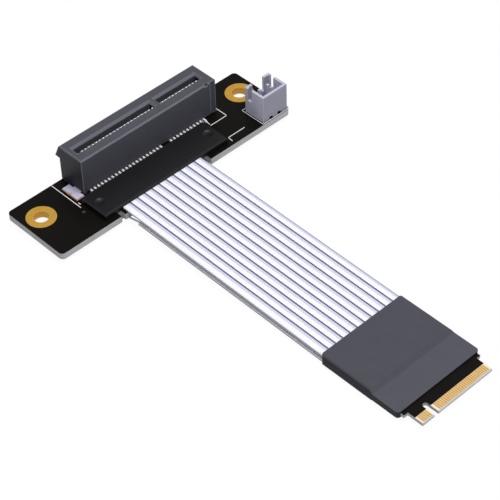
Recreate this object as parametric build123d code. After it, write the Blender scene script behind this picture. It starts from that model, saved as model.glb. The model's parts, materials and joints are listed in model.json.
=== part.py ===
from build123d import *
import math
import os

# Slot board.  While a piece is drawn, X runs along the card slot from the
# middle of the board, Y points to the board's back edge from the slot's
# centre line, and Z points up from the board's top face.
board_length = 66.8
board_width = 18.3
board_thickness = 1.6
board_corner_radius = 1.0
slot_to_back_edge = 3.6
copper = 0.05

# Mounting holes, plated through
hole_diameter = 3.4
hole_from_end = 4.35
hole_from_back_edge = 6.25
ring_diameter = 6.7

# Card slot
slot_width = 7.5
slot_height = 9.3
slot_offset = 1.5
card_gap = 1.8
card_gap_floor = 1.5
lead_in = 0.45
left_end_wall = 1.6
right_end_wall = 2.1
key_wall = 1.7
slot_foot_length = 0.8
slot_foot_height = 0.4
slot_edge_chamfer = 0.25
lip_depth = 1.45
lip_height = 3.45
front_recess_length = 1.64
front_recess_depth = 0.15
front_notch_length = 0.9
front_notch_depth = 0.6
front_notch_from_end = 2.3

# Spring contacts
contact_pitch = 1.0
long_contacts = 21
short_contacts = 11
long_inset_left = 1.12
long_inset_right = 0.63
short_inset_left = 0.67
short_inset_right = 1.18
contact_width = 0.4
contact_thickness = 0.3
contact_bump = 0.72
contact_tip = 1.05
contact_bump_below_tip = 1.2
contact_bend_below_tip = 3.6
stem_offset = 2.25
groove_width = 0.6
groove_outer = 2.6
front_tip_below_top = 0.3
rear_tip_below_top = 2.2
tail_sidestep = 0.87
sidestep_top = 1.6
front_tail_reach = 4.8
rear_tail_reach = 3.45
tail_pad_width = 0.5
tail_pad_margin = 0.1
tail_pad_under_housing = 1.0
channel_clearance = 0.1

# Hold-down tab at the slot's left end
tab_length = 4.95
tab_width = 1.9
tab_thickness = 0.25
tab_gap_to_slot = 0.4
tab_middle_y = -1.62
tab_notch = 0.5
tab_pad_border = 0.12
tongue_clearance = 0.1

# Plated via
via_diameter = 0.8
via_hole_diameter = 0.35
via_from_cover = 1.5
via_from_cover_back = 2.7

# Flat cable
strips = 11
strip_pitch = 2.055
ribbon_thickness = 0.7
strip_edge_radius = 0.24
web_thickness = 0.2
ribbon_offset = -3.86
ribbon_free_length = 57.9
ribbon_bend_radius = 20.0
ribbon_bend_margin = 0.5
lower_start_drop = 1.2
lower_jacket_gap = 3.3
conductor_diameter = 0.32
conductor_spread = 1.0
wire_pad_length = 3.0
wire_pad_width = 0.6
wire_end_in_cover = 1.2
wire_end_on_plug = 0.5
wire_straight = 0.4
wire_start_gap = 0.02
wire_before_board = 0.2

# Covers over the soldered cable end
cover_length = 35.5
cover_width = 8.2
upper_cover_height = 1.4
lower_cover_height = 1.05
cover_offset = -2.35
cover_from_slot_line = 5.1
cover_edge_chamfer = 0.3
cover_wall = 0.6
cover_roof = 0.5
pocket_clearance = 0.15
mouth_clearance = 0.05
jacket_in_cover = 1.2
dimple_diameter = 2.5
dimple_depth = 0.3
dimple_from_end = 2.1
dimple_from_back = 4.1

# Relief notches beside the cable
relief_width = 1.0
relief_depth = 1.8
relief_from_ribbon = 0.65

# Plug sleeve
sleeve_wall = 0.3725
sleeve_length = 20.8
sleeve_thickness = 3.0
sleeve_side_radius = 0.8
sleeve_corner_radius = 0.8
sleeve_flat_length = 6.75
sleeve_slope_length = 1.1
sleeve_flat_thickness = 1.6
sleeve_rear_wall = 0.8
sleeve_clearance = 0.05
cavity_from_slope = 0.5
jacket_in_sleeve = 3.0

# Plug board, M key
plug_thickness = 0.8
plug_width = 22.0
tongue_width = 19.85
tongue_length = 4.0
plug_reach = 4.87
plug_board_length = 20.0
plug_edge_chamfer = 0.22
key_offset = 6.125
key_width = 1.2
key_depth = 3.5
finger_pitch = 0.5
finger_width = 0.35
finger_length = 1.85
finger_from_tip = 0.28
top_right_count = 29
top_left_count = 5
bottom_right_count = 29
bottom_left_count = 4
key_count = 4
top_row_edge = 9.25
bottom_row_edge = 9.0

# Power header
header_length = 7.3
header_depth = 5.8
header_height = 7.0
header_wall = 0.6
header_floor = 1.0
header_from_end = 4.2
header_from_front = 3.4
header_foot_notch_width = 1.2
header_foot_notch_height = 0.7
end_slot_width = 1.25
end_slot_offset = 1.42
end_slot_bottom = 3.65
rear_sill = 3.3
rear_wall_left = 1.7
rear_wall_right = 2.0
pin_pitch = 2.5
pin_size = 0.64
pin_offset = 0.7
pin_top = 6.3
pin_tip_chamfer = 0.15
pin_tail = 1.0
pin_hole_diameter = 1.0
joint_diameter = 1.9
joint_height = 0.8

# Derived positions
board_back = slot_to_back_edge
board_front = board_back - board_width
hole_x = board_length / 2 - hole_from_end
hole_y = board_back - hole_from_back_edge
long_row_length = (long_contacts - 1) * contact_pitch
short_row_length = (short_contacts - 1) * contact_pitch
long_opening_length = long_inset_left + long_row_length + long_inset_right
short_opening_length = short_inset_left + short_row_length + short_inset_right
openings_length = long_opening_length + key_wall + short_opening_length
slot_length = left_end_wall + openings_length + right_end_wall
slot_left = slot_offset - slot_length / 2
slot_right = slot_offset + slot_length / 2
long_opening_left = slot_left + left_end_wall
long_opening_right = long_opening_left + long_opening_length
short_opening_left = long_opening_right + key_wall
short_opening_right = short_opening_left + short_opening_length
first_contact = long_opening_left + long_inset_left
first_short_contact = short_opening_left + short_inset_left
header_x = board_length / 2 - header_from_end
header_y = board_front + header_from_front
underside = -board_thickness - lower_cover_height
ribbon_width = strips * strip_pitch
cover_back = -cover_from_slot_line
cover_front = cover_back - cover_width
cover_left = cover_offset - cover_length / 2
cover_right = cover_offset + cover_length / 2
via_x = cover_left - via_from_cover
via_y = cover_back - via_from_cover_back
sleeve_inside = max(ribbon_width, plug_width) + 2 * sleeve_clearance
sleeve_width = sleeve_inside + 2 * sleeve_wall
sleeve_rear = board_front - ribbon_free_length
sleeve_front = sleeve_rear - sleeve_length
plug_tip = sleeve_front - plug_reach
sleeve_middle_z = underside + sleeve_thickness / 2
plug_top = sleeve_middle_z + plug_thickness / 2
plug_bottom = plug_top - plug_thickness
plug_rear = plug_tip + plug_board_length
jacket_end = sleeve_rear - jacket_in_sleeve
upper_jacket_start = cover_front + jacket_in_cover
lower_jacket_start = board_front - lower_jacket_gap
upper_run_z = plug_top + ribbon_thickness / 2
lower_run_z = plug_bottom - ribbon_thickness / 2
lip_tip = slot_width / 2 + lip_depth

# The finished part has its origin under the middle of its outline.
part_shift = Pos(0, -(lip_tip + plug_tip) / 2, -underside)


def block(x0, x1, y0, y1, z0, z1):
    middle = Pos((x0 + x1) / 2, (y0 + y1) / 2, (z0 + z1) / 2)
    return middle * Box(x1 - x0, y1 - y0, z1 - z0)


def upright(x, y, z0, z1, diameter):
    return Pos(x, y, (z0 + z1) / 2) * Cylinder(diameter / 2, z1 - z0)


def prism_along_x(points, x0, x1):
    outline = Polyline(*[(x0, y, z) for y, z in points], close=True)
    return extrude(make_face(outline), amount=x1 - x0, dir=(1, 0, 0))


def prism_along_y(points, y0, y1):
    outline = Polyline(*[(x, y0, z) for x, z in points], close=True)
    return extrude(make_face(outline), amount=y1 - y0, dir=(0, 1, 0))


def group(shapes):
    return Compound([solid for shape in shapes for solid in shape.solids()])


def strip_outline(points, thickness):
    """Closed outline of a bent strip, from its centre line, with mitred bends."""
    sides = ([], [])
    for index, point in enumerate(points):
        before = points[max(index - 1, 0)]
        after = points[min(index + 1, len(points) - 1)]
        heading_in = math.atan2(point[1] - before[1], point[0] - before[0])
        heading_out = math.atan2(after[1] - point[1], after[0] - point[0])
        if index == 0:
            heading_in = heading_out
        if index == len(points) - 1:
            heading_out = heading_in
        middle = (heading_in + heading_out) / 2
        reach = thickness / 2 / math.cos((heading_out - heading_in) / 2)
        across = (-math.sin(middle) * reach, math.cos(middle) * reach)
        sides[0].append((point[0] + across[0], point[1] + across[1]))
        sides[1].append((point[0] - across[0], point[1] - across[1]))
    return sides[0] + sides[1][::-1]


def contact_positions():
    long_row = [first_contact + n * contact_pitch for n in range(long_contacts)]
    short_row = [first_short_contact + n * contact_pitch for n in range(short_contacts)]
    return long_row + short_row


def pin_positions():
    return [header_x - pin_pitch / 2, header_x + pin_pitch / 2]


def conductor_positions():
    first = ribbon_offset - (strips - 1) * strip_pitch / 2
    middles = [first + n * strip_pitch for n in range(strips)]
    return [m + side * conductor_spread / 2 for m in middles for side in (-1, 1)]


def slot_board():
    outline = RectangleRounded(board_length, board_width, board_corner_radius)
    middle = Pos(0, (board_back + board_front) / 2, -board_thickness)
    board = extrude(middle * outline, amount=board_thickness)
    for side in (-1, 1):
        board -= upright(side * hole_x, hole_y, -board_thickness, 0, hole_diameter + 2 * copper)
        inner = ribbon_offset + side * (ribbon_width / 2 + relief_from_ribbon)
        outer = inner + side * relief_width
        left, right = min(inner, outer), max(inner, outer)
        round_end = board_front + relief_depth - relief_width / 2
        board -= block(left, right, board_front - 1, round_end, -board_thickness, 0)
        board -= upright((left + right) / 2, round_end, -board_thickness, 0, relief_width)
    board -= upright(via_x, via_y, -board_thickness, 0, via_hole_diameter + 2 * copper)
    for x in pin_positions():
        board -= upright(x, header_y + pin_offset, -board_thickness, 0, pin_hole_diameter)
    return board


def plated_hole(x, y, hole, land):
    lower, upper = -board_thickness - copper, copper
    barrel = upright(x, y, lower, upper, hole + 2 * copper)
    top_land = upright(x, y, 0, copper, land)
    bottom_land = upright(x, y, lower, -board_thickness, land)
    return barrel + top_land + bottom_land - upright(x, y, lower, upper, hole)


def card_opening(x0, x1):
    gap = block(x0, x1, -card_gap / 2, card_gap / 2, card_gap_floor, slot_height)
    half = card_gap / 2
    low = slot_height - lead_in
    mouth = Pos((x0 + x1) / 2, 0, low) * Rectangle(x1 - x0, card_gap)
    top = Pos((x0 + x1) / 2, 0, slot_height)
    top = top * Rectangle(x1 - x0 + 2 * lead_in, 2 * (half + lead_in))
    return gap + loft([mouth, top])


def slot_housing():
    half = slot_width / 2
    body = block(slot_left, slot_right, -half, half, 0, slot_height)
    body = chamfer(body.edges().group_by(Axis.Z)[-1], slot_edge_chamfer)
    lip_bottom = slot_height - lip_height
    low = slot_height - slot_edge_chamfer
    lip = [(half, low), (lip_tip, lip_bottom), (half, lip_bottom)]
    body += prism_along_x(lip, slot_left, slot_right)
    recess_left = slot_right - front_recess_length
    body -= block(recess_left, slot_right, -half, -half + front_recess_depth, 0, slot_height)
    notch_right = slot_right - front_notch_from_end
    notch_left = notch_right - front_notch_length
    notch_bottom = slot_height - front_notch_depth
    notch_back = -half + front_notch_depth
    body -= block(notch_left, notch_right, -half, notch_back, notch_bottom, slot_height)
    body -= card_opening(long_opening_left, long_opening_right)
    body -= card_opening(short_opening_left, short_opening_right)
    foot_left = slot_left + slot_foot_length
    foot_right = slot_right - slot_foot_length
    body -= block(foot_left, foot_right, -half, half, 0, slot_foot_height)
    tongue_half = tab_length / 4
    tongue = (tab_middle_y - tongue_half, tab_middle_y + tongue_half)
    body -= block(slot_left, foot_left, *tongue, 0, slot_foot_height)
    places = contact_positions()
    for side, tip_below_top in ((-1, front_tip_below_top), (1, rear_tip_below_top)):
        inner, outer = side * card_gap / 2, side * groove_outer
        near, far = min(inner, outer), max(inner, outer)
        groove_top = slot_height - tip_below_top + groove_width / 4
        grooves = []
        for x in places:
            left, right = x - groove_width / 2, x + groove_width / 2
            grooves.append(block(left, right, near, far, card_gap_floor, groove_top))
        body -= grooves
        stem_near = side * stem_offset - groove_width / 2
        stem_far = side * stem_offset + groove_width / 2
        left = places[0] - tail_sidestep - groove_width / 2
        right = places[-1] + groove_width / 2
        channel_top = sidestep_top + channel_clearance
        body -= block(left, right, stem_near, stem_far, slot_foot_height, channel_top)
    return body


def slot_contact(x, side, tip_below_top, reach):
    """One spring contact: sprung blade, sidestep in the foot and solder tail."""
    top = slot_height - tip_below_top
    stem = side * stem_offset
    bend = top - contact_bend_below_tip
    bump_z = top - contact_bump_below_tip
    centre_line = [(stem, sidestep_top), (stem, bend)]
    centre_line += [(side * contact_bump, bump_z), (side * contact_tip, top)]
    half = contact_width / 2
    outline = strip_outline(centre_line, contact_thickness)
    blade = prism_along_x(outline, x - half, x + half)
    tail_x = x - tail_sidestep
    tail_top = copper + contact_thickness
    step = [(x - half, sidestep_top), (x + half, sidestep_top)]
    step += [(tail_x + half, tail_top), (tail_x - half, tail_top)]
    thick = contact_thickness / 2
    sidestep = prism_along_y(step, stem - thick, stem + thick)
    ends = sorted((stem - side * thick, side * reach))
    tail = block(tail_x - half, tail_x + half, *ends, copper, tail_top)
    return blade + sidestep + tail


def slot_contacts(side, tip_below_top, reach):
    pattern = slot_contact(0, side, tip_below_top, reach)
    return group([Pos(x, 0, 0) * pattern for x in contact_positions()])


def slot_solder_pads(side, reach):
    inner = slot_width / 2 - tail_pad_under_housing
    ends = sorted((side * inner, side * (reach + tail_pad_margin)))
    half = tail_pad_width / 2
    pads = []
    for x in contact_positions():
        tail_x = x - tail_sidestep
        pads.append(block(tail_x - half, tail_x + half, *ends, 0, copper))
    return group(pads)


def holddown_tab():
    right = slot_left - tab_gap_to_slot
    left = right - tab_width
    back = tab_middle_y + tab_length / 2
    front = tab_middle_y - tab_length / 2
    top = copper + tab_thickness
    tab = block(left, right, front, back, copper, top)
    notch = [(left, tab_middle_y - tab_notch), (left, tab_middle_y + tab_notch)]
    notch += [(left + tab_notch, tab_middle_y)]
    notch_outline = Polyline(*[(x, y, copper) for x, y in notch], close=True)
    tab -= extrude(make_face(notch_outline), amount=tab_thickness, dir=(0, 0, 1))
    tongue_half = tab_length / 4 - tongue_clearance
    tongue = (tab_middle_y - tongue_half, tab_middle_y + tongue_half)
    return tab + block(right, slot_left + slot_foot_length, *tongue, copper, top)


def holddown_pad():
    right = slot_left - tab_gap_to_slot
    left = right - tab_width
    border = tab_pad_border
    back = tab_middle_y + tab_length / 2
    front = tab_middle_y - tab_length / 2 - border
    return block(left - border, right + border, front, back + border, 0, copper)


def cable_cover(height, mouth_top):
    """Bar over the soldered conductors, drawn standing on the level z = 0."""
    bar = block(cover_left, cover_right, cover_front, cover_back, 0, height)
    bar = chamfer(bar.edges().group_by(Axis.Z)[-1], cover_edge_chamfer)
    for x in (cover_left + dimple_from_end, cover_right - dimple_from_end):
        rim = dimple_diameter / 2
        ball = (rim * rim + dimple_depth * dimple_depth) / (2 * dimple_depth)
        ball_z = height - dimple_depth + ball
        bar -= Pos(x, cover_back - dimple_from_back, ball_z) * Sphere(ball)
    room = ribbon_width / 2 + pocket_clearance
    pocket_left, pocket_right = ribbon_offset - room, ribbon_offset + room
    pocket_top = height - cover_roof
    pocket_back = cover_back - cover_wall
    pocket_front = cover_front + cover_wall
    bar -= block(pocket_left, pocket_right, pocket_front, pocket_back, 0, pocket_top)
    bar -= block(pocket_left, pocket_right, cover_front, pocket_front, 0, mouth_top)
    return bar


def cable_cover_top():
    return cable_cover(upper_cover_height, ribbon_thickness + mouth_clearance)


def cable_cover_bottom():
    bar = cable_cover(lower_cover_height, lower_cover_height - cover_roof)
    return Pos(0, 0, -board_thickness) * mirror(bar, about=Plane.XY)


def ribbon_profile():
    """Cross-section of the joined strips, with rounded valleys between them."""
    half = ribbon_thickness / 2
    first = -(strips - 1) * strip_pitch / 2
    section = Rectangle(ribbon_width - strip_pitch, web_thickness)
    for n in range(strips):
        strip = RectangleRounded(strip_pitch, 2 * half, strip_edge_radius)
        section += Pos(first + n * strip_pitch, 0) * strip
    return section


def ribbon(path_points):
    points = [(ribbon_offset, y, z) for y, z in path_points]
    line = FilletPolyline(*points, radius=ribbon_bend_radius)
    start = Plane(origin=line @ 0, x_dir=(1, 0, 0), z_dir=line % 0)
    return sweep(start * ribbon_profile(), path=line)


def ribbon_upper():
    start_z = ribbon_thickness / 2
    points = [(upper_jacket_start, start_z), (board_front - ribbon_bend_margin, start_z)]
    points += [(sleeve_rear + ribbon_bend_margin, upper_run_z), (jacket_end, upper_run_z)]
    return ribbon(points)


def ribbon_lower():
    points = [(lower_jacket_start, -lower_start_drop)]
    points += [(sleeve_rear + ribbon_bend_margin, lower_run_z), (jacket_end, lower_run_z)]
    return ribbon(points)


def conductor(points):
    """One bare conductor along points (y, z), drawn square."""
    half = conductor_diameter / 2
    outline = strip_outline(points, conductor_diameter)
    return prism_along_x(outline, -half, half)


def conductors(point_lists):
    shapes = [conductor(points) for points in point_lists]
    return group([Pos(x, 0, 0) * s for x in conductor_positions() for s in shapes])


def upper_wire_ends():
    rise = copper + conductor_diameter / 2
    on_slot = [(upper_jacket_start, rise), (slot_pad_back(), rise)]
    on_plug = [(jacket_end, plug_top + rise), (plug_pad_front(), plug_top + rise)]
    return conductors([on_slot, on_plug])


def lower_wire_ends():
    drop = copper + conductor_diameter / 2
    level = -board_thickness - drop
    bend = lower_jacket_start + wire_straight
    start = lower_jacket_start + wire_start_gap
    on_slot = [(start, -lower_start_drop), (bend, -lower_start_drop)]
    on_slot += [(board_front - wire_before_board, level), (slot_pad_back(), level)]
    on_plug = [(jacket_end, plug_bottom - drop), (plug_pad_front(), plug_bottom - drop)]
    return conductors([on_slot, on_plug])


def slot_pad_back():
    return cover_back - cover_wall - wire_end_in_cover


def plug_pad_front():
    return plug_rear - wire_pad_length - wire_end_on_plug


def wire_pads(y_front, top, bottom):
    half = wire_pad_width / 2
    back = y_front + wire_pad_length
    pads = []
    for x in conductor_positions():
        pads.append(block(x - half, x + half, y_front, back, top, top + copper))
        pads.append(block(x - half, x + half, y_front, back, bottom - copper, bottom))
    return group(pads)


def plug_sleeve():
    half = sleeve_flat_thickness / 2
    flat_start = sleeve_front + sleeve_flat_length
    slope_start = flat_start + sleeve_slope_length
    flat_top, flat_bottom = sleeve_middle_z + half, sleeve_middle_z - half
    sleeve_top = underside + sleeve_thickness
    side = [(sleeve_rear, underside), (sleeve_rear, sleeve_top), (slope_start, sleeve_top)]
    side += [(flat_start, flat_top), (sleeve_front, flat_top)]
    side += [(sleeve_front, flat_bottom), (flat_start, flat_bottom), (slope_start, underside)]
    width = sleeve_width / 2
    body = prism_along_x(side, ribbon_offset - width, ribbon_offset + width)
    section = RectangleRounded(sleeve_width, sleeve_thickness, sleeve_side_radius)
    middle = (ribbon_offset, sleeve_front, sleeve_middle_z)
    plane = Plane(origin=middle, x_dir=(1, 0, 0), z_dir=(0, 1, 0))
    body &= extrude(plane * section, amount=sleeve_length)
    outline = RectangleRounded(sleeve_width, sleeve_length, sleeve_corner_radius)
    centre = Pos(ribbon_offset, (sleeve_rear + sleeve_front) / 2, underside)
    body &= extrude(centre * outline, amount=sleeve_thickness)
    room = ribbon_width / 2 + sleeve_clearance
    left, right = ribbon_offset - room, ribbon_offset + room
    top = upper_run_z + ribbon_thickness / 2 + sleeve_clearance
    bottom = lower_run_z - ribbon_thickness / 2 - sleeve_clearance
    cavity_rear = sleeve_rear - sleeve_rear_wall
    cavity_front = slope_start + cavity_from_slope
    body -= block(left, right, cavity_front, cavity_rear, bottom, top)
    body -= block(left, right, cavity_rear, sleeve_rear, plug_top, top)
    body -= block(left, right, cavity_rear, sleeve_rear, bottom, plug_bottom)
    board_half = plug_width / 2
    board = (ribbon_offset - board_half, ribbon_offset + board_half)
    body -= block(*board, sleeve_front, cavity_front, plug_bottom, plug_top)
    return body


def plug_board():
    wide, narrow = plug_width / 2, tongue_width / 2
    shoulder = plug_tip + tongue_length
    left, right = ribbon_offset - wide, ribbon_offset + wide
    board = block(left, right, shoulder, plug_rear, plug_bottom, plug_top)
    bevel = plug_edge_chamfer
    edge = [(shoulder, plug_bottom), (shoulder, plug_top), (plug_tip + bevel, plug_top)]
    edge += [(plug_tip, plug_top - bevel), (plug_tip, plug_bottom + bevel)]
    edge += [(plug_tip + bevel, plug_bottom)]
    board += prism_along_x(edge, ribbon_offset - narrow, ribbon_offset + narrow)
    key_x = ribbon_offset - key_offset
    key_end = plug_tip + key_depth - key_width / 2
    key = (key_x - key_width / 2, key_x + key_width / 2)
    board -= block(*key, plug_tip, key_end, plug_bottom, plug_top)
    board -= upright(key_x, key_end, plug_bottom, plug_top, key_width)
    return board


def fingers(first, count, z0):
    """A row of contact pads, numbered from the plug's right edge."""
    half = finger_width / 2
    start = plug_tip + finger_from_tip
    pads = []
    for n in range(count):
        x = ribbon_offset + first - n * finger_pitch
        pads.append(block(x - half, x + half, start, start + finger_length, z0, z0 + copper))
    return group(pads)


def header_housing():
    half_x, half_y = header_length / 2, header_depth / 2
    left, right = header_x - half_x, header_x + half_x
    front, back = header_y - half_y, header_y + half_y
    body = block(left, right, front, back, 0, header_height)
    inner_left, inner_right = left + header_wall, right - header_wall
    inner_front, inner_back = front + header_wall, back - header_wall
    body -= block(inner_left, inner_right, inner_front, inner_back, header_floor, header_height)
    slot_y = header_y + end_slot_offset
    slot_front, slot_back = slot_y - end_slot_width / 2, slot_y + end_slot_width / 2
    body -= block(left, right, slot_front, slot_back, end_slot_bottom, header_height)
    gap_left, gap_right = left + rear_wall_left, right - rear_wall_right
    body -= block(gap_left, gap_right, inner_back, back, rear_sill, header_height)
    for x in pin_positions():
        notch = (x - header_foot_notch_width / 2, x + header_foot_notch_width / 2)
        body -= block(*notch, front, front + header_wall, 0, header_foot_notch_height)
        pin = (x - pin_size / 2, x + pin_size / 2)
        pin_y = header_y + pin_offset
        body -= block(*pin, pin_y - pin_size / 2, pin_y + pin_size / 2, 0, header_floor)
    return body


def header_pin(x):
    pin_y = header_y + pin_offset
    half = pin_size / 2
    bottom = -board_thickness - pin_tail
    pin = block(x - half, x + half, pin_y - half, pin_y + half, bottom, pin_top)
    ends = pin.edges().group_by(Axis.Z)[-1] + pin.edges().group_by(Axis.Z)[0]
    return chamfer(ends, pin_tip_chamfer)


def header_solder_joints():
    joints = []
    for x in pin_positions():
        y = header_y + pin_offset
        place = Pos(x, y, -board_thickness - joint_height / 2)
        cone = place * Cone(pin_size * 0.75, joint_diameter / 2, joint_height)
        half = pin_size / 2
        hole = (x - half, x + half, y - half, y + half)
        cone -= block(*hole, -board_thickness - joint_height, -board_thickness)
        joints.append(cone)
    return group(joints)


def parts():
    left_x, right_x = pin_positions()
    top_left_first = top_row_edge - (top_right_count + key_count) * finger_pitch
    bottom_left_first = bottom_row_edge - (bottom_right_count + key_count) * finger_pitch
    low = plug_bottom - copper
    pad_front = slot_pad_back() - wire_pad_length
    return {
        "slot_board": slot_board(),
        "mounting_ring_left": plated_hole(-hole_x, hole_y, hole_diameter, ring_diameter),
        "mounting_ring_right": plated_hole(hole_x, hole_y, hole_diameter, ring_diameter),
        "board_via": plated_hole(via_x, via_y, via_hole_diameter, via_diameter),
        "slot_housing": slot_housing(),
        "slot_contacts_front": slot_contacts(-1, front_tip_below_top, front_tail_reach),
        "slot_contacts_rear": slot_contacts(1, rear_tip_below_top, rear_tail_reach),
        "slot_solder_pads_front": slot_solder_pads(-1, front_tail_reach),
        "slot_solder_pads_rear": slot_solder_pads(1, rear_tail_reach),
        "slot_holddown_left": holddown_tab(),
        "holddown_pad_left": holddown_pad(),
        "cable_cover_top": cable_cover_top(),
        "cable_cover_bottom": cable_cover_bottom(),
        "ribbon_upper": ribbon_upper(),
        "ribbon_lower": ribbon_lower(),
        "upper_wire_ends": upper_wire_ends(),
        "lower_wire_ends": lower_wire_ends(),
        "wire_pads_slot_board": wire_pads(pad_front, 0, -board_thickness),
        "wire_pads_plug_board": wire_pads(plug_pad_front(), plug_top, plug_bottom),
        "plug_sleeve": plug_sleeve(),
        "plug_board": plug_board(),
        "finger_pads_top_wide": fingers(top_row_edge, top_right_count, plug_top),
        "finger_pads_top_narrow": fingers(top_left_first, top_left_count, plug_top),
        "finger_pads_bottom_wide": fingers(bottom_row_edge, bottom_right_count, low),
        "finger_pads_bottom_narrow": fingers(bottom_left_first, bottom_left_count, low),
        "header_housing": header_housing(),
        "header_pin_left": header_pin(left_x),
        "header_pin_right": header_pin(right_x),
        "header_solder_joints": header_solder_joints(),
    }


os.makedirs("parts", exist_ok=True)
for node, shape in parts().items():
    export_step(part_shift * shape, "parts/" + node + ".step")
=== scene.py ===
import bpy
import bmesh
import json
import math
from mathutils import Matrix, Vector

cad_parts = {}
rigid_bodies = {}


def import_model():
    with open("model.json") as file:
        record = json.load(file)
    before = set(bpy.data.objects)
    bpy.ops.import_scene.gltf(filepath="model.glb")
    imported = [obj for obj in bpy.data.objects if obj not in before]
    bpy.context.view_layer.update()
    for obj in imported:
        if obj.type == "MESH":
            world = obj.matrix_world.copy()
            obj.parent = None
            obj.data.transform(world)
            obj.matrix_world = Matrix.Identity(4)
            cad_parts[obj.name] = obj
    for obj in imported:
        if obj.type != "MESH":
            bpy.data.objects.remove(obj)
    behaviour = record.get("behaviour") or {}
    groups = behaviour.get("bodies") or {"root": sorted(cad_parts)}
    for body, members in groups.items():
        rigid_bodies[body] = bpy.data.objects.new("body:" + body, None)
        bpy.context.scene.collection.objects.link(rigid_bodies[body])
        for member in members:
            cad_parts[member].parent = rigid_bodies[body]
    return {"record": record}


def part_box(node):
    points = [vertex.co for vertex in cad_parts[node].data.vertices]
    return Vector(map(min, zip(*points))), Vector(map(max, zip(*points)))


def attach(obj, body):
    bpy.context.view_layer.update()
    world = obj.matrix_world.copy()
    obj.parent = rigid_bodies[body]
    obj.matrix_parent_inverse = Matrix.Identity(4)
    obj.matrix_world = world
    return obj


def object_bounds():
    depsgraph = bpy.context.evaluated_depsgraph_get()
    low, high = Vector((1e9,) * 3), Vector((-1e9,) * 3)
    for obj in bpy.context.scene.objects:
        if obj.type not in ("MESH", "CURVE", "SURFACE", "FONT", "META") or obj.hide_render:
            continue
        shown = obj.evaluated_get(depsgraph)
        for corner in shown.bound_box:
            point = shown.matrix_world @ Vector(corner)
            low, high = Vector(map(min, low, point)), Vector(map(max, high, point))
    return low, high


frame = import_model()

cad_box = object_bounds()

# Metres in a millimetre
MM = 0.001

# Lengths of the part, in millimetres
SLOT_HALF_WIDTH = 3.75
RIBBON_STRIPS = 11
DASH_ROWS = 4
DASH_LENGTH = 0.62
SLEEVE_FLAT = 6.75
SLEEVE_SLOPE = 1.1
LAMINATE_BEHIND_FINGERS = 0.03

# The board's print: ink, and gaps between the power header and the line round it
INK_THICKNESS = 0.02
INK_WIDTH = 0.18
OUTLINE_WIDTH = 0.16
OUTLINE_GAP_LEFT = 0.35
OUTLINE_GAP_RIGHT = 0.15
OUTLINE_GAP_FRONT = 0.25
OUTLINE_GAP_BACK = 0.80
LINE_END_STEPS = 6

# Corners of the other printed lines, from the slot's left end and centre line
PRINTED_LINES = {
    "print_left_line": [(-3.2, 3.4), (-3.2, -6.3)],
    "print_left_mark": [(-2.6, -4.9), (-2.6, -5.5)],
    "print_corner_box": [(39.55, -2.9), (39.55, -6.4), (34.7, -6.4)],
    "print_short_stub": [(35.0, -4.2), (34.8, -5.9)],
    "print_hook_line": [(39.5, -12.2), (34.6, -12.2), (34.5, -13.6)],
}

# Camera: its place in metres, its turn in degrees, and its lens
CAMERA_PLACE = (-0.194612, -0.201462, 0.275521)
CAMERA_HEADING = -42.5772
CAMERA_TILT = 45.8046
CAMERA_ROLL = -1.8148
CAMERA_LENS = 135.62
SENSOR_WIDTH = 36.0
CAMERA_NEAR = 0.01
CAMERA_FAR = 10.0

# Light and floor, in metres and watts
WORLD_LEVEL = 0.38
LAMP_PLACE = (0.05, -0.13, 0.68)
LAMP_SIZE = 0.40
LAMP_WATTS = 4.2
FLOOR_HALF_SIZE = 2.0
FLOOR_GAP = 0.02 * MM
FLOOR_GLOW = 1.05
FLOOR_GLOW_SHARE = 0.90


# Shader maths

class Value:
    """A node socket that takes part in Python arithmetic."""

    def __init__(self, finish, socket):
        self.finish = finish
        self.socket = socket

    def _math(self, operation, *inputs):
        sockets = dict(enumerate(inputs))
        return self.finish.value("ShaderNodeMath", "Value", {"operation": operation}, sockets)

    def __add__(self, other):
        return self._math("ADD", self, other)

    __radd__ = __add__

    def __sub__(self, other):
        return self._math("SUBTRACT", self, other)

    def __rsub__(self, other):
        return self._math("SUBTRACT", other, self)

    def __mul__(self, other):
        return self._math("MULTIPLY", self, other)

    __rmul__ = __mul__

    def __truediv__(self, other):
        return self._math("DIVIDE", self, other)

    def __rtruediv__(self, other):
        return self._math("DIVIDE", other, self)

    def __abs__(self):
        return self._math("ABSOLUTE", self)

    def fract(self):
        return self._math("FRACT", self)

    def floor(self):
        return self._math("FLOOR", self)

    def most(self, other):
        return self._math("MAXIMUM", self, other)

    def ramp(self, low, high):
        """0 below low and 1 above high, smooth between them."""
        settings = {"interpolation_type": "SMOOTHSTEP"}
        sockets = {"Value": self, "From Min": low, "From Max": high}
        return self.finish.value("ShaderNodeMapRange", "Result", settings, sockets)


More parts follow.
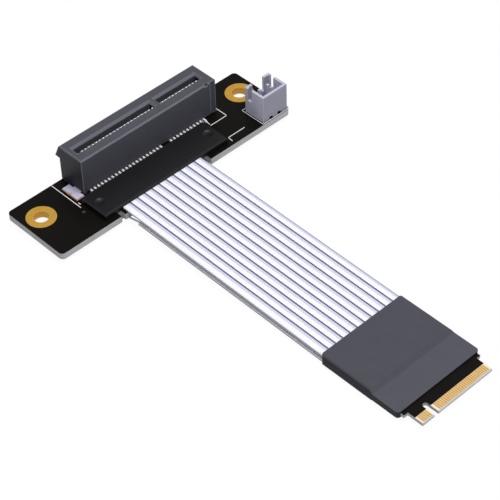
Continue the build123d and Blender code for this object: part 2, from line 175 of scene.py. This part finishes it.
class Finish:
    """A material with one principled shader, and the nodes that feed it."""

    def __init__(self, name, **plain):
        self.material = bpy.data.materials.new(name)
        self.material.use_nodes = True
        self.tree = self.material.node_tree
        self.tree.nodes.clear()
        numbers = {key.replace("_", " "): number for key, number in plain.items()}
        self.shader = self.node("ShaderNodeBsdfPrincipled", {}, numbers)
        self.surface = Value(self, self.shader.outputs["BSDF"])
        self.output = self.node("ShaderNodeOutputMaterial", {}, {"Surface": self.surface})

    def node(self, kind, settings, sockets):
        """Adds a node: its settings are made first, then its sockets are set or linked."""
        made = self.tree.nodes.new(kind)
        for key, setting in settings.items():
            setattr(made, key, setting)
        for key, given in sockets.items():
            socket = made.inputs[key]
            if isinstance(given, Value):
                self.tree.links.new(given.socket, socket)
            elif socket.type == "RGBA":
                socket.default_value = (*given, 1.0)
            else:
                socket.default_value = given
        return made

    def value(self, kind, output, settings=None, sockets=None):
        """Adds a node and gives one of its outputs."""
        made = self.node(kind, settings or {}, sockets or {})
        return Value(self, made.outputs[output])

    def feed(self, key, given):
        self.tree.links.new(given.socket, self.shader.inputs[key])

    def point(self):
        """The place on the object, in metres."""
        return self.value("ShaderNodeTexCoord", "Object")

    def coordinate(self, vector, axis):
        """A vector's length along one axis."""
        return self.value("ShaderNodeSeparateXYZ", axis, sockets={"Vector": vector})

    def facing(self, axis):
        """How squarely the surface faces along an axis, to either side, from 0 to 1."""
        return abs(self.coordinate(self.value("ShaderNodeNewGeometry", "True Normal"), axis))

    def noise(self, point, size, detail=2.0, roughness=0.5):
        sockets = {"Vector": point, "Scale": 1 / size, "Detail": detail, "Roughness": roughness}
        return self.value("ShaderNodeTexNoise", "Fac", sockets=sockets)

    def stretched_noise(self, point, scale, detail):
        """Noise with its own scale, in cells per metre, along each axis."""
        sockets = {"Vector": point, "Scale": scale}
        cells = self.value("ShaderNodeMapping", "Vector", {"vector_type": "POINT"}, sockets)
        return self.noise(cells, 1.0, detail)

    def blend(self, factor, first, second):
        """Mixes two colours: the second shows where the factor is 1."""
        # A Mix node has sockets of one name for each kind of data, so a number picks the colours
        sockets = {0: factor, 6: first, 7: second}
        return self.value("ShaderNodeMix", 2, {"data_type": "RGBA"}, sockets)

    def soft_edge(self, radius):
        """The surface's direction, with the edges rounded over the given radius."""
        return self.value("ShaderNodeBevel", "Normal", {"samples": 4}, {"Radius": radius})

    def edge_mask(self, radius):
        """1 along an edge, 0 on the flat."""
        sockets = {0: self.soft_edge(radius), 1: self.value("ShaderNodeNewGeometry", "Normal")}
        likeness = self.value("ShaderNodeVectorMath", "Value", {"operation": "DOT_PRODUCT"}, sockets)
        # The dot product falls below 1 where rounding turns the direction away from the flat
        return 1 - likeness.ramp(0.88, 0.998)

    def bump(self, height, distance, strength, **base):
        sockets = {"Height": height, "Distance": distance, "Strength": strength, **base}
        self.feed("Normal", self.value("ShaderNodeBump", "Normal", sockets=sockets))


def linear(code):
    """The linear colour of a six-digit screen colour."""
    parts = [int(code[i:i + 2], 16) / 255 for i in (0, 2, 4)]
    return tuple(p / 12.92 if p <= 0.04045 else ((p + 0.055) / 1.055) ** 2.4 for p in parts)


def times(number, colour):
    return tuple(number * part for part in colour)


# Finishes

def board_mask():
    """Black solder mask, bare laminate round the plug's fingers, pale layers on the cut edges."""
    f = Finish("board_mask", Metallic=0.0, Specular_IOR_Level=0.12)
    point = f.point()
    cut = 1 - f.facing("Z").ramp(0.80, 0.92)
    cloud = f.noise(point, size=4 * MM)
    mask = f.blend(cloud, linear("060503"), linear("0E0C08"))
    layers = f.stretched_noise(point, scale=(250, 250, 9000), detail=3.0)
    glass = f.blend(layers, linear("A2A2A4"), linear("D6D6DA"))
    mask_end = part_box("finger_pads_top_wide")[1][1] + LAMINATE_BEHIND_FINGERS * MM
    bare = 1 - (f.coordinate(point, "Y") - mask_end).ramp(0.0, 0.02 * MM)
    laminate = f.blend(cloud, linear("DCCDBB"), linear("EEE2D6"))
    flat = f.blend(bare, mask, laminate)
    f.feed("Base Color", f.blend(cut, flat, glass))
    grain = f.noise(point, size=0.12 * MM)
    f.feed("Roughness", 0.34 + 0.12 * grain + 0.3 * cut)
    f.bump(grain * 0.6 + layers * cut, distance=0.01 * MM, strength=0.4)
    return f.material


def gold_plate():
    """Gold plating, with a painted highlight along its edges and painted shade on its walls, as down
    inside a hole.
    """
    f = Finish("gold_plate")
    point = f.point()
    shaded_wall = 1 - f.facing("Z").ramp(0.3, 0.6)
    cloud = f.noise(point, size=1.2 * MM, detail=3.0)
    tone = f.blend(cloud, linear("C89628"), linear("EABA54"))
    # Painted highlight: edges are blended towards a paler gold
    tone = f.blend(f.edge_mask(0.18 * MM) * 0.7, tone, linear("F0CC7C"))
    # Painted shade: walls, such as those down inside a hole, take a darker gold
    f.feed("Base Color", f.blend(shaded_wall, tone, linear("C8922C")))
    fine = f.noise(point, size=0.08 * MM)
    f.feed("Metallic", 0.50 + 0.1 * cloud)
    f.feed("Roughness", 0.30 + 0.18 * fine)
    f.bump(fine, distance=0.004 * MM, strength=0.5)
    return f.material


def side_walls(f):
    """1 on walls that face left or right."""
    return f.facing("X").ramp(0.5, 0.8)


def sleeve_front(f):
    """1 on the sleeve's thin front, 0 on its thick part."""
    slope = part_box("plug_sleeve")[0][1] + SLEEVE_FLAT * MM
    return 1 - (f.coordinate(f.point(), "Y") - slope).ramp(0.0, SLEEVE_SLOPE * MM)


def clouded(f, cloud, colour):
    """The colour, a little deeper and paler in soft clouds."""
    return f.blend(cloud, times(0.92, colour), times(1.08, colour))


def moulded(name, colour, edge, grain_size, rough, edge_radius, gloss=0.25, side_shade=0.0,
            shade_top=0.70, painted_edge_gain=1.0, zone=side_walls, painted_zone_gain=1.0):
    """Fine-grained moulded plastic: painted shade on upright sides, a painted highlight on edges and
    slopes, and one zone painted lighter or darker by a gain.
    """
    f = Finish(name, Metallic=0.0, Specular_IOR_Level=gloss)
    point = f.point()
    upward = f.facing("Z")
    cloud = f.noise(point, size=3 * MM, detail=3.0)
    grain = f.noise(point, grain_size, detail=2.0, roughness=0.6)
    tone = clouded(f, cloud, colour)
    # Painted light and shade: the zone takes the colour scaled by its gain, paler above 1 and darker
    # below
    tone = f.blend(zone(f), tone, clouded(f, cloud, times(painted_zone_gain, colour)))
    sloped = upward.ramp(0.20, 0.35) * (1 - upward.ramp(0.86, 0.98))
    upright = 1 - upward.ramp(0.10, shade_top)
    # Painted shade: upright sides are darkened towards black
    tone = f.blend(upright * side_shade, tone, (0.0, 0.0, 0.0))
    # Painted highlight: edges and slopes take the edge colour, which the gain scales on upright
    # faces, down to painted shade below 1
    mask = f.edge_mask(edge_radius).most(sloped * 0.6)
    rim = f.blend(upright, edge, times(painted_edge_gain, edge))
    f.feed("Base Color", f.blend(mask, tone, rim))
    f.feed("Roughness", rough + 0.14 * (grain - 0.5) + 0.05 * cloud)
    f.bump(grain, distance=0.012 * MM, strength=0.35, Normal=f.soft_edge(edge_radius * 0.6))
    return f.material


def slot_plastic():
    # Painted highlight along the edges, brighter on upright edges, and painted shade on the end
    # walls
    return moulded("slot_plastic", colour=linear("4B4B54"), edge=linear("74747F"), rough=0.50,
                   grain_size=0.10 * MM, edge_radius=0.32 * MM, gloss=0.15, painted_edge_gain=2.2,
                   zone=side_walls, painted_zone_gain=0.35)


def cover_plastic():
    # Painted shade on the upright sides, and a faint painted highlight along the edges
    return moulded("cover_plastic", colour=linear("161619"), edge=linear("242427"), rough=0.36,
                   grain_size=0.12 * MM, edge_radius=0.16 * MM, gloss=0.28, side_shade=0.5)


def sleeve_plastic():
    # Painted shade on the upright and rounded sides and at the crease, and painted light on the thin
    # front
    return moulded("sleeve_plastic", colour=linear("484851"), edge=linear("494952"), rough=0.55,
                   grain_size=0.14 * MM, edge_radius=0.12 * MM, gloss=0.15, side_shade=0.72,
                   shade_top=0.97, painted_edge_gain=0.3, zone=sleeve_front, painted_zone_gain=1.16)


def header_plastic():
    # Painted highlight along the rims, painted shade on the upright walls, and painted light on the
    # walls that face left or right
    return moulded("header_plastic", colour=linear("B4B4C6"), edge=linear("F2F2FC"), rough=0.45,
                   grain_size=0.10 * MM, edge_radius=0.14 * MM, side_shade=0.30,
                   zone=side_walls, painted_zone_gain=2.3)


def bright_metal(name, low, high, rough):
    """Tinned metal with faint rolling lines."""
    f = Finish(name)
    point = f.point()
    lines = f.stretched_noise(point, scale=(9000, 900, 9000), detail=3.0)
    cloud = f.noise(point, size=0.8 * MM, detail=3.0)
    f.feed("Base Color", f.blend(cloud, linear(low), linear(high)))
    f.feed("Metallic", 0.25 + 0.1 * lines)
    f.feed("Roughness", rough + 0.15 * lines)
    f.bump(lines, distance=0.004 * MM, strength=0.5)
    return f.material


def jacket_dashes(f, across, point):
    """Short dashes in rows along each strip, each row half a step off the next."""
    row = across * DASH_ROWS
    step = (f.coordinate(point, "Y") / (DASH_LENGTH * MM) + row.floor() * 0.5).fract()
    ticks = abs(step - 0.5).ramp(0.10, 0.30)
    rows = 1 - abs(row.fract() - 0.5).ramp(0.15, 0.45)
    cells = f.stretched_noise(point, scale=(300, 2600, 300), detail=2.0)
    return rows * ticks * cells.ramp(0.30, 0.50)


def ribbon_jacket():
    """Pale jacket with fine dashes, and painted shade in the grooves between strips, along the right
    edge, on the right half of each strip and on the grey sides.
    """
    f = Finish("ribbon_jacket", Metallic=0.0, Specular_IOR_Level=0.3)
    point = f.point()
    low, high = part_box("ribbon_upper")
    pitch = (high[0] - low[0]) / RIBBON_STRIPS
    # Strips counted from the left edge: a whole number is a valley, and a half is a crest
    across = (f.coordinate(point, "X") - low[0]) / pitch
    in_strip = across.fract()
    last = RIBBON_STRIPS - 1
    inner = across.ramp(0.20, 0.30) * (1 - across.ramp(last + 0.70, last + 0.80))
    # Painted shade in the grooves between the inner strips
    valley = abs(in_strip - 0.5).ramp(0.370, 0.460) * inner
    # Painted shade along the ribbon's right edge
    rim = across.ramp(last + 0.74, last + 0.92)
    # Painted shade on the half of each strip towards the right
    shaded_flank = in_strip.ramp(0.46, 0.72)
    dashes = jacket_dashes(f, across, point)
    cloud = f.stretched_noise(point, scale=(500, 60, 500), detail=2.0)
    body = f.blend(cloud, linear("F2F3FC"), linear("FCFCFF"))
    body = f.blend(shaded_flank, body, linear("CDCEE0"))
    body = f.blend(dashes * 0.5, body, linear("ACADCC"))
    # Painted shade: the ribbon's sides are grey, darker on the lower layer
    side = 1 - f.facing("Z").ramp(0.1, 0.5)
    upper = (f.coordinate(point, "Z") - low[2]).ramp(0.0, 0.1 * MM)
    edge = f.blend(upper, linear("9C9CA0"), linear("B4B4BA"))
    body = f.blend(side * (1 - inner), body, edge)
    f.feed("Base Color", f.blend(valley.most(rim * 0.7), body, linear("5E5C80")))
    fine = f.noise(point, size=0.15 * MM)
    f.feed("Roughness", 0.45 + 0.10 * fine)
    f.bump(fine * 0.15 - dashes * 0.3, distance=0.03 * MM, strength=0.25)
    return f.material


def board_print():
    """White ink lines on the board."""
    f = Finish("board_print", Metallic=0.0, IOR=1.45)
    speckle = f.noise(f.point(), size=0.10 * MM, detail=3.0)
    f.feed("Base Color", f.blend(speckle, linear("D0D0D0"), linear("F2F2F2")))
    f.feed("Roughness", 0.55 + 0.2 * speckle)
    f.bump(speckle, distance=0.006 * MM, strength=0.4)
    return f.material


FINISHES = {
    "board_mask": board_mask(),
    "gold_plate": gold_plate(),
    "slot_plastic": slot_plastic(),
    "contact_metal": bright_metal("contact_metal", "ECECEC", "FFFFFF", rough=0.35),
    "tinned_steel": bright_metal("tinned_steel", "CCC6E6", "E2DCF6", rough=0.35),
    "cover_plastic": cover_plastic(),
    "ribbon_jacket": ribbon_jacket(),
    "bare_wire": bright_metal("bare_wire", "DCDCDE", "F6F6F8", rough=0.35),
    "sleeve_plastic": sleeve_plastic(),
    "header_plastic": header_plastic(),
    "pin_metal": bright_metal("pin_metal", "C8C8D0", "ECECF4", rough=0.25),
    "board_print": board_print(),
}

for part in frame["record"]["subparts"]:
    solid = bpy.data.objects[part["node"]]
    solid.data.materials.clear()
    solid.data.materials.append(FINISHES[part["material_slot"]])


# Ink lines on the board

def from_slot(x, y):
    """A place on the board, measured from the slot's left end and centre line."""
    left, front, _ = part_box("slot_housing")[0]
    return (left + x * MM, front + (SLOT_HALF_WIDTH + y) * MM)


def header_outline():
    """The corners of the line printed round the power header."""
    low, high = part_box("header_housing")
    left, right = low[0] - OUTLINE_GAP_LEFT * MM, high[0] + OUTLINE_GAP_RIGHT * MM
    front, back = low[1] - OUTLINE_GAP_FRONT * MM, high[1] + OUTLINE_GAP_BACK * MM
    return [(left, front), (left, back), (right, back), (right, front), (left, front)]


def round_ended_bar(shape, start, end, half, lift):
    """Adds one raised bar with half-round ends, without its underside."""
    run = (end - start).normalized()
    rim = []
    for centre, turn in ((end, -90), (start, 90)):
        for step in range(LINE_END_STEPS + 1):
            angle = turn + 180 / LINE_END_STEPS * step
            spin = Matrix.Rotation(math.radians(angle), 3, "Z")
            rim.append(centre + half * (spin @ run))
    lower = [shape.verts.new(place) for place in rim]
    upper = [shape.verts.new(place + lift) for place in rim]
    shape.faces.new(upper)
    for i in range(len(rim)):
        j = (i + 1) % len(rim)
        shape.faces.new((lower[i], lower[j], upper[j], upper[i]))


def ink_line(name, corners, width=INK_WIDTH):
    """A printed line through the given corners, as thin raised bars in one mesh."""
    board_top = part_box("slot_board")[1][2]
    places = [Vector((*corner, board_top)) for corner in corners]
    lift = Vector((0, 0, INK_THICKNESS * MM))
    shape = bmesh.new()
    for start, end in zip(places, places[1:]):
        round_ended_bar(shape, start, end, width / 2 * MM, lift)
    mesh = bpy.data.meshes.new(name)
    shape.to_mesh(mesh)
    shape.free()
    mesh.materials.append(FINISHES["board_print"])
    piece = bpy.data.objects.new(name, mesh)
    bpy.context.scene.collection.objects.link(piece)
    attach(piece, "root")


for name, corners in PRINTED_LINES.items():
    ink_line(name, [from_slot(*corner) for corner in corners])
ink_line("print_header_outline", header_outline(), OUTLINE_WIDTH)


# Floor, light and camera

def floor_finish():
    """Pale, and near white to the camera with the part's shadow; clear when seen from below."""
    f = Finish("pale_floor", Roughness=0.9, Metallic=0.0)
    tone = f.noise(f.point(), size=0.5)
    f.feed("Base Color", f.blend(tone, (0.52, 0.52, 0.52), (0.56, 0.56, 0.56)))
    camera, glossy, through = (f.value("ShaderNodeLightPath", f"Is {kind} Ray")
                               for kind in ("Camera", "Glossy", "Transmission"))
    glow_share = camera.most(glossy).most(through) * FLOOR_GLOW_SHARE
    white = {"Color": (1.0, 1.0, 1.0), "Strength": FLOOR_GLOW}
    glow = f.value("ShaderNodeEmission", "Emission", sockets=white)
    lit = f.value("ShaderNodeMixShader", 0, sockets={0: glow_share, 1: f.surface, 2: glow})
    clear = f.value("ShaderNodeBsdfTransparent", "BSDF")
    below = f.value("ShaderNodeNewGeometry", "Backfacing")
    whole = f.value("ShaderNodeMixShader", 0, sockets={0: below, 1: lit, 2: clear})
    f.tree.links.new(whole.socket, f.output.inputs["Surface"])
    return f.material


def floor():
    """A wide flat floor just under the part."""
    shape = bmesh.new()
    bmesh.ops.create_grid(shape, x_segments=2, y_segments=2, size=FLOOR_HALF_SIZE)
    mesh = bpy.data.meshes.new("floor")
    shape.to_mesh(mesh)
    shape.free()
    mesh.materials.append(floor_finish())
    plane = bpy.data.objects.new("floor", mesh)
    plane.location = (0, 0, cad_box[0][2] - FLOOR_GAP)
    bpy.context.scene.collection.objects.link(plane)


def studio():
    """An even white world and one soft lamp above the part."""
    world = bpy.data.worlds.new("studio")
    bpy.context.scene.world = world
    world.use_nodes = True
    sky = world.node_tree.nodes["Background"]
    sky.inputs["Color"].default_value = (1.0, 1.0, 1.0, 1.0)
    sky.inputs["Strength"].default_value = WORLD_LEVEL
    data = bpy.data.lights.new("top_light", "AREA")
    data.shape = "DISK"
    data.size = LAMP_SIZE
    data.energy = LAMP_WATTS
    lamp = bpy.data.objects.new("top_light", data)
    lamp.location = LAMP_PLACE
    lamp.rotation_euler = Vector(LAMP_PLACE).to_track_quat("Z", "Y").to_euler()
    bpy.context.scene.collection.objects.link(lamp)


def photo_camera():
    """A camera at the photograph's place, angle and framing."""
    data = bpy.data.cameras.new("photo_camera")
    data.sensor_width = SENSOR_WIDTH
    data.lens = CAMERA_LENS
    data.clip_start = CAMERA_NEAR
    data.clip_end = CAMERA_FAR
    camera = bpy.data.objects.new("photo_camera", data)
    heading = Matrix.Rotation(math.radians(CAMERA_HEADING), 4, "Z")
    tilt = Matrix.Rotation(math.radians(CAMERA_TILT), 4, "X")
    roll = Matrix.Rotation(math.radians(CAMERA_ROLL), 4, "Z")
    camera.matrix_world = Matrix.Translation(CAMERA_PLACE) @ heading @ tilt @ roll
    bpy.context.scene.collection.objects.link(camera)
    bpy.context.scene.camera = camera


floor()
studio()
photo_camera()
bpy.context.scene.view_settings.view_transform = "Standard"
